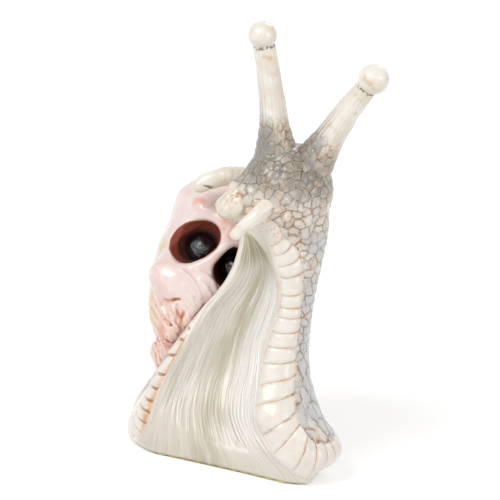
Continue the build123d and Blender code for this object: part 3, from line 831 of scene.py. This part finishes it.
def make_stalk(side, path, material):
    """An eyestalk, scaled at its root and finely grooved above."""
    points, faces, along, turn, out = tube(path, stalk_taper, *stalk_fineness)
    low = smooth_step(17, 9, along)
    edge, _ = cells(points * (1, 1, 0.6) + 0.5 * pushes(points, 2.2, 41), 1.9, 40)
    rise = low * (0.22 * (1 - bell(edge / 0.4)) - 0.13)
    groove = np.sin(turn * 21 + 1.5 * lumps(points, 6.0, 5)) + np.sin(turn * 34 + 2.0)
    rise += (1 - low) * (0.05 * groove + 0.14 * lumps(points, 5.0, 6))
    marks = {
        "edge": edge, "low": low, "groove": groove, "joint": smooth_step(1.4, 0.5, along.max() - along),
        "warm": smooth_step(-0.5, 0.3, out[:, 0] + 0.3 * lumps(points, 3.0, 9)),
        "root": smooth_step(13, 5, along),
        "streak": smooth_step(-0.3, -0.95, out[:, 0]) * smooth_step(30, 14, along),
    }
    return piece("eyestalk_skin_" + side, points + out * rise[:, None], faces, material,
                 ["eyestalk_" + side], marks)


def make_ball(name, middle, radius, material, replaces, swell, size, seed):
    """A ball of four-sided faces, with lumps as high as the swell and about as wide as the size."""
    mesh = bmesh.new()
    bmesh.ops.create_cube(mesh, size=2.0)
    bmesh.ops.subdivide_edges(mesh, edges=mesh.edges[:], cuts=ball_cuts, use_grid_fill=True)
    corners = np.array([v.co for v in mesh.verts])
    mesh.verts.index_update()
    faces = [[v.index for v in face.verts] for face in mesh.faces]
    mesh.free()
    corners = np.tan(corners * math.pi / 4)
    out = corners / np.linalg.norm(corners, axis=1)[:, None]
    grown = radius + swell * lumps(out * radius + 40, size, seed)
    return piece(name, np.asarray(middle) + out * grown[:, None], faces, material, replaces)


right_feeler_taper = ((0.0, 3.2), (0.35, 2.6), (0.68, 2.0), (0.84, 2.4), (1.0, 2.7))
left_feeler_taper = ((0.0, 3.4), (0.4, 3.0), (0.75, 2.6), (1.0, 2.5))
right_feeler = ((14.5, -6.6, 90), (8.2, -12.4, 83.6), (2.9, -13.4, 77.3), (1.6, -13.4, 75.6))
left_feeler = (
    (2.4, 6.4, 91.2), (-3.6, 5.2, 90.8), (-8.8, 4.2, 88.6), (-12.0, 3.4, 86.4), (-13.4, 3.1, 85.4),
)


def make_feeler(side, path, taper, material, crease):
    """A short feeler with a blunt end, soft wrinkles across it and a crease below the end, this deep."""
    points, faces, along, turn, out = tube(path, taper, *feeler_fineness, rounded=True)
    wrinkle = np.sin(along * 3.1 + 1.4 * np.sin(turn)) * smooth_step(12, 3, along)
    split = bell((along.max() - along - 4.6 + 1.2 * np.sin(3 * turn)) / 0.8)
    split *= smooth_step(0.5, -0.3, out[:, 2])
    rise = 0.06 * wrinkle + 0.20 * lumps(points, 2.8, 12) - crease * split
    # The split's mark carries painted shade into the crease under the left feeler's end
    marks = {"groove": wrinkle, "split": split * (crease > 0.5)}
    return piece("feeler_skin_" + side, points + out * rise[:, None], faces, material,
                 ["feeler_" + side], marks)


def linear(code):
    """The linear colour of an sRGB hex value."""
    shares = [int(code[i:i + 2], 16) / 255 for i in (1, 3, 5)]
    return tuple(s / 12.92 if s <= 0.04045 else ((s + 0.055) / 1.055) ** 2.4 for s in shares) + (1.0,)


def add(tree, kind, *values, out=0, **settings):
    """Adds a node with its settings, sets or joins its inputs in their order, and gives an output."""
    node = tree.nodes.new(kind)
    for name, value in settings.items():
        setattr(node, name, value)
    sockets = [socket for socket in node.inputs if socket.enabled]
    for socket, value in zip(sockets, values):
        if isinstance(value, bpy.types.NodeSocket):
            tree.links.new(value, socket)
        elif value is not None:
            socket.default_value = value
    return [socket for socket in node.outputs if socket.enabled][out]


class Paint:
    """A material that is laid on in coats, with its patterns measured in millimetres."""

    def __init__(self, name, roughness, varnish=0.0, varnish_roughness=0.04, stretch=(1, 1, 1)):
        self.material = bpy.data.materials.new(name)
        self.material.use_nodes = True
        self.tree = self.material.node_tree
        self.inputs = self.tree.nodes["Principled BSDF"].inputs
        self.inputs["Roughness"].default_value = roughness
        self.inputs["Coat Weight"].default_value = varnish
        self.inputs["Coat Roughness"].default_value = varnish_roughness
        place = add(self.tree, "ShaderNodeTexCoord", out=3)
        scale = tuple(axis / MM for axis in stretch)
        self.place = add(self.tree, "ShaderNodeVectorMath", place, scale, operation="MULTIPLY")

    def mottle(self, size, detail=3.0):
        """Random light and dark of about this size in millimetres."""
        return add(self.tree, "ShaderNodeTexNoise", self.place, 1 / size, detail)

    def amount(self, what):
        """What a coat's thickness follows. A name is the mark that the sculpting left under it. Three
        members are a fade of the first, from nothing at the second to one at the third, and there a
        number in the first place is a mottle of that size. Anything else stays as it is."""
        if isinstance(what, str):
            made = self.tree.nodes.get(what)
            if made:
                return made.outputs["Fac"]
            return add(self.tree, "ShaderNodeAttribute", out=2, name=what, attribute_name=what)
        if not isinstance(what, tuple):
            return what
        source, none, full = what
        source = self.mottle(source) if isinstance(source, (int, float)) else self.amount(source)
        return add(self.tree, "ShaderNodeMapRange", source, none, full, 0.0, 1.0,
                   interpolation_type="SMOOTHSTEP")

    def coats(self, colour, *coats):
        """Lays coats over a colour, each as thick as all its amounts together."""
        colour = linear(colour) if isinstance(colour, str) else colour
        for code, first, *others in coats:
            thick = self.amount(first)
            for other in others:
                thick = add(self.tree, "ShaderNodeMath", thick, self.amount(other), operation="MULTIPLY")
            colour = add(self.tree, "ShaderNodeMix", thick, colour, linear(code), data_type="RGBA")
        return colour

    def finish(self, colour, height, depth):
        """The material in this colour, with a fine relief this many millimetres deep."""
        normal = add(self.tree, "ShaderNodeBump", 1.0, depth * MM, None, height)
        self.tree.links.new(normal, self.inputs["Normal"])
        self.tree.links.new(colour, self.inputs["Base Color"])
        return self.material


# How many fine and broad lines run down the sole's paint, side by side
fine_lines, broad_lines = 60, 24


def strands(paint, count):
    """Lines that run down the sole, about this many across it, from nothing to one."""
    tree = paint.tree
    across = add(tree, "ShaderNodeMath", paint.amount("across"), float(count), operation="MULTIPLY")
    height = add(tree, "ShaderNodeSeparateXYZ", paint.place, out=2)
    height = add(tree, "ShaderNodeMath", height, 0.05, operation="MULTIPLY")
    return add(tree, "ShaderNodeTexNoise", add(tree, "ShaderNodeCombineXYZ", across, height), 1.0, 3.0)


def sole_paint(paint):
    """The paint of the sole: warm pearl, whiter at the right, with pale painted highlights and khaki
    painted shade along its fine relief lines, and olive painted shade in the channel.
    """
    fine, broad = strands(paint, fine_lines), strands(paint, broad_lines)
    return paint.coats(
        "#EFE7DE",
        ("#E0D7CC", (broad, 0.42, 0.60)),
        # Whiter towards the right: partly the pale paint by the margin, partly painted light on the
        # channel's lit right wall
        ("#F3F1EE", ("across", 0.60, 0.84), 0.95),
        # Painted highlights on the crests of the fine relief lines
        ("#F4F0E9", (fine, 0.54, 0.66), 0.6),
        # Khaki painted shade in the valleys of the fine relief lines
        ("#C0B8AC", (fine, 0.45, 0.36), 0.6),
        ("#CFC6B6", "low", 0.6),
        # Olive painted shade down the channel and over its top
        ("#A0976F", "channel_shade", (broad, 0.26, 0.52), 0.88),
    )


def body_resin():
    # Polyester resin, cast in a rubber mould, sprayed cream, washed by hand with grey and rust that
    # stay in the grooves, and dipped in gloss varnish: pale and wet looking, with brown lines.
    paint = Paint("polyester_resin_cast_painted", roughness=0.34, varnish=0.55, varnish_roughness=0.06)
    tree, sole = paint.tree, paint.amount("sole")
    colour = paint.coats(
        "#F2EBE2",
        ("#E6DCD0", (12, 0.35, 0.65)),
        # Scales: each a little warmer or greyer than the next, grey on the dome, blue-grey on the flank
        ("#D8C3AE", "scales", ("lift", 0.35, 0.9), 0.85),
        ("#C6C2BB", "scales", ("lift", 0.50, 0.0), 0.60),
        ("#CDCFD0", "flank", (9, 0.3, 0.55), 0.85),
        ("#7F7B70", "dome", (5, 0.20, 0.55), 0.90),
        ("#6F6A5E", "dome", (2.2, 0.45, 0.7), 0.65),
        # Plates of the margin: pearl white
        ("#EFE8DF", "band", 0.85),
        ("#E6DACC", "band", (4, 0.4, 0.7), 0.6),
    )
    # The skin between the ribs of the sole
    colour = add(tree, "ShaderNodeMix", sole, colour, sole_paint(paint), data_type="RGBA")
    # Creases between the scales, flakes of crackled varnish, and how far each point is from the gap
    # between two plates
    crease = ("edge", 0.30, 0.06)
    flake = add(tree, "ShaderNodeTexVoronoi", paint.place, 1 / 1.9, feature="DISTANCE_TO_EDGE")
    gap = add(tree, "ShaderNodeMath", paint.amount("order"), 0.5, operation="ADD")
    gap = add(tree, "ShaderNodeMath", gap, operation="FRACT")
    gap = add(tree, "ShaderNodeMath", gap, 0.5, operation="SUBTRACT")
    gap = add(tree, "ShaderNodeMath", gap, operation="ABSOLUTE")
    gap = add(tree, "ShaderNodeMath", gap, paint.amount("plate_length"), operation="MULTIPLY")
    line, outer = (gap, 0.32, 0.08), ("share", 0.10, 0.90)
    colour = paint.coats(
        colour,
        # The lip's cream fold, and the stippled patch at the sole's top
        ("#E9DECE", "lip"),
        ("#D3C7B4", "lip", (2.4, 0.45, 0.65), 0.7),
        ("#B06A38", "lip", "rust", (1.5, 0.46, 0.56), 0.85),
        ("#8E7757", "lip", ("hollow", 0.2, 0.7), 0.85),
        ("#DBA676", "tan", (1.1, 0.48, 0.66), 0.65),
        # Wash in the creases between the scales
        ("#8A7865", "scales", (flake, 0.07, 0.01), (2.6, 0.50, 0.62), 0.6),
        ("#C3A88C", "scales", ("edge", 0.9, 0.2), (3.5, 0.35, 0.65), 0.5),
        ("#7B6A58", "scales", crease, (3.5, 0.38, 0.52), 0.85),
        ("#544A3E", "dome", crease, (2.6, 0.40, 0.54), 0.8),
        ("#8E4A24", "scales", crease, "rust", (2.5, 0.35, 0.5)),
        ("#B98155", "scales", "rust", ("edge", 1.0, 0.3), (2, 0.45, 0.6), 0.7),
        ("#8C6A4A", ("hollow", 1.3, 2.6), "scales", 0.6),
        # Wash in the gaps between the plates: khaki towards the sole, rust towards the flank
        ("#E9C6A2", "plated", (gap, 1.3, 0.2), outer, (3.5, 0.35, 0.65), 0.6),
        ("#CDBFA4", "plated", line, 0.65),
        ("#C07A45", "plated", line, outer, (2.6, 0.42, 0.58), 0.85),
        ("#94491F", "plated", (gap, 0.5, 0.1), "rust", outer, (1.8, 0.45, 0.6), 0.9),
        # Brown along the right side's borders, and ochre and rust on the left side
        ("#B98A62", "band", ("left_side", 1.0, 0.0), ("border", 0.55, 0.15), (3, 0.45, 0.62), 0.7),
        ("#D39247", "left_side", ("share", 0.42, 0.08), (2.5, 0.28, 0.50), 0.9),
        ("#B0692A", "left_side", (gap, 0.8, 0.2), ("share", 0.85, 0.3), 0.85),
    )
    # Brush marks and small pits under the varnish
    lines = add(tree, "ShaderNodeMath", strands(paint, fine_lines), sole, operation="MULTIPLY")
    seams = paint.amount(("edge", 0.05, 0.45))
    seams = add(tree, "ShaderNodeMath", seams, paint.amount("scales"), operation="MULTIPLY")
    seams = add(tree, "ShaderNodeMath", seams, 2.0, operation="MULTIPLY")
    raised = add(tree, "ShaderNodeMath", lines, seams, operation="ADD")
    raised = add(tree, "ShaderNodeMath", paint.mottle(0.9, detail=4.0), raised, operation="ADD")
    return paint.finish(colour, raised, depth=0.10)


def rib_resin():
    # The same casting where its sole is drawn into fine ribs, in the sole's pearl paint: painted highlights
    # keep the crests of the fine lines pale and bright, painted shade darkens their valleys, and olive
    # painted shade runs down the middle of the channel.
    paint = Paint("polyester_resin_cast_pearled", roughness=0.26, varnish=0.7, varnish_roughness=0.05)
    return paint.finish(sole_paint(paint), strands(paint, fine_lines), depth=0.14)


def flesh_resin():
    # The same resin, sprayed the colour of raw skin, blushed with peach and ochre, with burnt brown
    # in the sockets and rust in the creases, under a thick wet varnish: shiny and almost moist.
    paint = Paint("polyester_resin_cast_flesh", roughness=0.36, varnish=0.75, varnish_roughness=0.05)
    paint.inputs["Subsurface Weight"].default_value = 0.12
    paint.inputs["Subsurface Radius"].default_value = (0.004, 0.0015, 0.001)
    colour = paint.coats(
        "#F0DDD8",
        ("#ECD0C9", (8, 0.35, 0.65)),
        ("#F6E9E4", (3.5, 0.5, 0.7), 0.6),
        ("#E9A18C", "blush", (4, 0.25, 0.6), 0.75),
        ("#E5C07C", "ochre", (4, 0.25, 0.5), 0.95),
        ("#EBC8BA", "lower", 0.45),
        ("#D08A62", "lower", ("fibre", -0.2, -0.9), (3, 0.38, 0.58), 0.85),
        ("#C08A72", "crown", ("seam", 0.7, 0.1), 0.7),
        ("#E3B9A4", "crown", (6, 0.5, 0.7), 0.5),
        ("#D8A08C", ("hollow", 0.25, 0.9), 0.5),
        ("#DE9A70", "rust", ("hollow", 0.00, 0.25), 0.8),
        ("#8E3B1C", "rust", ("hollow", 0.22, 0.60), 0.95),
        # Sockets: burnt brown, and black painted shade round the beads
        ("#D08E78", ("socket", 0.01, 0.10), 0.9),
        ("#9C4B34", ("socket", 0.06, 0.30)),
        ("#863A27", ("socket", 0.40, 0.95)),
        ("#2A0E08", "socket", "painted_bead_shade", 0.92),
    )
    # The sockets are less varnished
    for title, outside, inside in (("Coat Weight", 0.75, 0.0), ("Roughness", 0.36, 0.80)):
        depth = paint.amount("socket")
        value = add(paint.tree, "ShaderNodeMapRange", depth, 0.0, 0.4, outside, inside)
        paint.tree.links.new(value, paint.inputs[title])
    return paint.finish(colour, paint.mottle(0.8, detail=4.0), depth=0.10)


def ivory_resin():
    # Thin stalks, feelers and balls of the same resin, sprayed ivory and drawn along with a dry brush:
    # creamy, with fine stripes, grey scales at the root and a dirty ring where the ball joins.
    paint = Paint("polyester_resin_cast_ivory", roughness=0.34, varnish=0.55, varnish_roughness=0.06)
    colour = paint.coats(
        "#F3EDE3",
        ("#E7DDCF", (7, 0.35, 0.65)),
        ("#D8CAB4", ("groove", -0.5, -1.7), (4, 0.35, 0.65), 0.7),
        ("#D3A679", (4, 0.60, 0.72), 0.5),
        ("#979490", "low", ("warm", 0.75, 0.0), 0.9),
        ("#BFA78F", "low", "warm", (3, 0.25, 0.6), 0.85),
        ("#8A857A", "root", (4, 0.2, 0.55), 0.7),
        ("#8B8177", "streak", ("groove", 0.8, -0.8), 0.8),
        ("#8A6445", "low", ("edge", 0.26, 0.06), (2, 0.40, 0.54), 0.9),
        # Painted shade in the crease under the left feeler's end
        ("#6F6246", ("split", 0.3, 0.8), 0.85),
        ("#6A5340", "joint", (1.2, 0.46, 0.56), 0.85),
    )
    return paint.finish(colour, paint.mottle(0.9, detail=4.0), depth=0.08)


def black_glass():
    # Glass beads, flame worked by hand: black, wet and a little lumpy, with sharp broken highlights.
    paint = Paint("glass_bead_flame_worked", roughness=0.10, varnish=0.8, varnish_roughness=0.03)
    colour = paint.coats("#121418", ("#3A3F47", (1.6, 0.5, 0.7), 0.6))
    return paint.finish(colour, paint.mottle(1.8, detail=2.0), depth=0.8)


def wool_felt():
    # Pressed wool felt, khaki, with a soft nap that scatters the light.
    paint = Paint("wool_felt_pressed", roughness=0.95)
    paint.inputs["Sheen Weight"].default_value = 0.4
    colour = paint.coats("#DAD1A4", ("#BDB282", (0.6, 0.35, 0.65)))
    return paint.finish(colour, paint.mottle(0.25, detail=4.0), depth=0.15)


def drawn_steel():
    # Steel wire, drawn through a die: bright grey metal with fine scratches along it.
    paint = Paint("steel_wire_drawn", roughness=0.28, stretch=(1, 1, 0.05))
    paint.inputs["Metallic"].default_value = 1.0
    colour = paint.coats("#A9ABAD", ("#85888B", (0.2, 0.35, 0.65)))
    return paint.finish(colour, paint.mottle(0.15, detail=2.0), depth=0.02)


def turned_beech():
    # Beech rod, turned: pale pinkish wood with fine dark flecks along the grain.
    paint = Paint("beech_rod_turned", roughness=0.55, stretch=(1, 1, 0.1))
    colour = paint.coats(
        "#D3B088", ("#C19A6E", (0.9, 0.35, 0.65)), ("#93683F", (0.35, 0.62, 0.70), 0.7))
    return paint.finish(colour, paint.mottle(0.3, detail=3.0), depth=0.03)


body_paint, rib_paint, flesh_paint, ivory_paint = body_resin(), rib_resin(), flesh_resin(), ivory_resin()
bead_glass = black_glass()

clay = shape_body()
points, faces, body_marks = finish_body(clay)
piece("snail_skin", points, faces, body_paint, ["snail_body"], body_marks)
lay_ribs(clay, rib_paint)
points, faces, skull_marks = finish_skull(shape_skull(clay))
piece("skull_skin", points, faces, flesh_paint, ["skull"], skull_marks)
make_stalk("left", left_stalk, ivory_paint)
make_stalk("right", right_stalk, ivory_paint)
make_feeler("left", left_feeler, left_feeler_taper, ivory_paint, crease=0.6)
make_feeler("right", right_feeler, right_feeler_taper, ivory_paint, crease=0.2)
for name, middle, radius, finish, slot, node, swell, size, seed in (
    ("tip_ball_left", left_ball, 4.55, ivory_paint, "ivory_resin", "eyestalk_tip_left", 0.15, 3.0, 51),
    ("tip_ball_right", right_ball, 4.95, ivory_paint, "ivory_resin", "eyestalk_tip_right", 0.15, 3.0, 52),
    ("bead_left", bead_left, 4.9, bead_glass, "black_bead", "eye_bead_left", 0.30, 2.6, 53),
    ("bead_right", bead_right, 4.9, bead_glass, "black_bead", "eye_bead_right", 0.35, 2.2, 54),
):
    make_ball(name, middle, radius, finish, [node], swell, size, seed)

points, faces = solid_of("base_felt")
felt = piece("felt_sheet", points - drawn_in(points), faces.tolist(), wool_felt(), ["base_felt"])
felt.data.shade_flat()

steel, beech = drawn_steel(), turned_beech()
for node, finish in (
    ("stalk_wire_left", steel), ("stalk_wire_right", steel),
    ("skull_dowel_front", beech), ("skull_dowel_rear", beech),
):
    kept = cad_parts[node]
    kept.data.materials.clear()
    kept.data.materials.append(finish)

# Floor, sky and lamps
floor_mesh = bpy.data.meshes.new("floor")
floor_mesh.from_pydata([(-4, -4, 0), (4, -4, 0), (4, 4, 0), (-4, 4, 0)], [], [(0, 1, 2, 3)])
put("floor", floor_mesh)


def backdrop(tree, lit, shown):
    """One shader for the light that a surface gives, another where it is seen or mirrored."""
    path = tree.nodes.new("ShaderNodeLightPath").outputs
    seen = add(tree, "ShaderNodeMath", path["Is Camera Ray"], path["Is Glossy Ray"], operation="MAXIMUM")
    seen = add(tree, "ShaderNodeMath", seen, path["Is Transmission Ray"], operation="MAXIMUM")
    return add(tree, "ShaderNodeMixShader", seen, lit, shown)


# Matt white card, lit a little from itself where it is seen, so that only the shadow stays grey
card = bpy.data.materials.new("paper_card_white")
card.use_nodes = True
tree = card.node_tree
tree.nodes.remove(tree.nodes["Principled BSDF"])
matt = add(tree, "ShaderNodeBsdfDiffuse", linear("#F6F6F5"))
glow = add(tree, "ShaderNodeEmission", (1, 1, 1, 1), 0.30)
bright = add(tree, "ShaderNodeAddShader", matt, glow)
tree.links.new(backdrop(tree, matt, bright), tree.nodes["Material Output"].inputs["Surface"])
floor_mesh.materials.append(card)

# A white sky, brighter where it is seen than the light that it gives
sky = bpy.data.worlds.new("studio")
sky.use_nodes = True
tree = sky.node_tree
tree.nodes.clear()
lit = add(tree, "ShaderNodeBackground", (1, 1, 1, 1), 0.52)
shown = add(tree, "ShaderNodeBackground", (1, 1, 1, 1), 1.0)
world_out = tree.nodes.new("ShaderNodeOutputWorld")
tree.links.new(backdrop(tree, lit, shown), world_out.inputs["Surface"])
bpy.context.scene.world = sky

# The middle of the figure, which the lamps face
lamp_aim = Vector((0, 0, 0.07))


def lamp(name, place, size, power):
    """A soft box that faces the figure."""
    light = bpy.data.lights.new(name, "AREA")
    light.shape = "SQUARE"
    light.size = size
    light.energy = power
    made = put(name, light)
    made.location = place
    made.rotation_euler = (lamp_aim - Vector(place)).to_track_quat("-Z", "Y").to_euler()


lamp("key", (-0.75, -0.75, 0.95), size=0.7, power=8.4)
lamp("fill", (0.95, -0.7, 0.6), size=0.6, power=3.4)
lamp("rim", (0.3, 0.9, 0.9), size=0.6, power=2.0)

# The camera: its direction in degrees, its distance in metres, how much its frame spans at the target
# in millimetres, and the target in figure millimetres
azimuth, elevation, roll = math.radians(0), math.radians(15), math.radians(9)
distance = 1.5
frame_mm = 162.5
target = Vector((np.array([8.1, 0.0, 69.0]) - figure_step) * MM)
sensor = 36
look = Vector((
    math.sin(azimuth) * math.cos(elevation), math.cos(azimuth) * math.cos(elevation), -math.sin(elevation)))
right = Vector((math.cos(azimuth), -math.sin(azimuth), 0))
up = right.cross(look)
image_right = right * math.cos(roll) + up * math.sin(roll)
image_up = up * math.cos(roll) - right * math.sin(roll)
lens = bpy.data.cameras.new("camera")
lens.sensor_width = sensor
lens.lens = sensor * distance / (frame_mm * MM)
lens.clip_start = 0.05
camera = put("camera", lens)
camera.matrix_world = Matrix((
    (image_right.x, image_up.x, -look.x, target.x - look.x * distance),
    (image_right.y, image_up.y, -look.y, target.y - look.y * distance),
    (image_right.z, image_up.z, -look.z, target.z - look.z * distance),
    (0, 0, 0, 1),
))
bpy.context.scene.camera = camera
bpy.context.scene.view_settings.view_transform = "Standard"
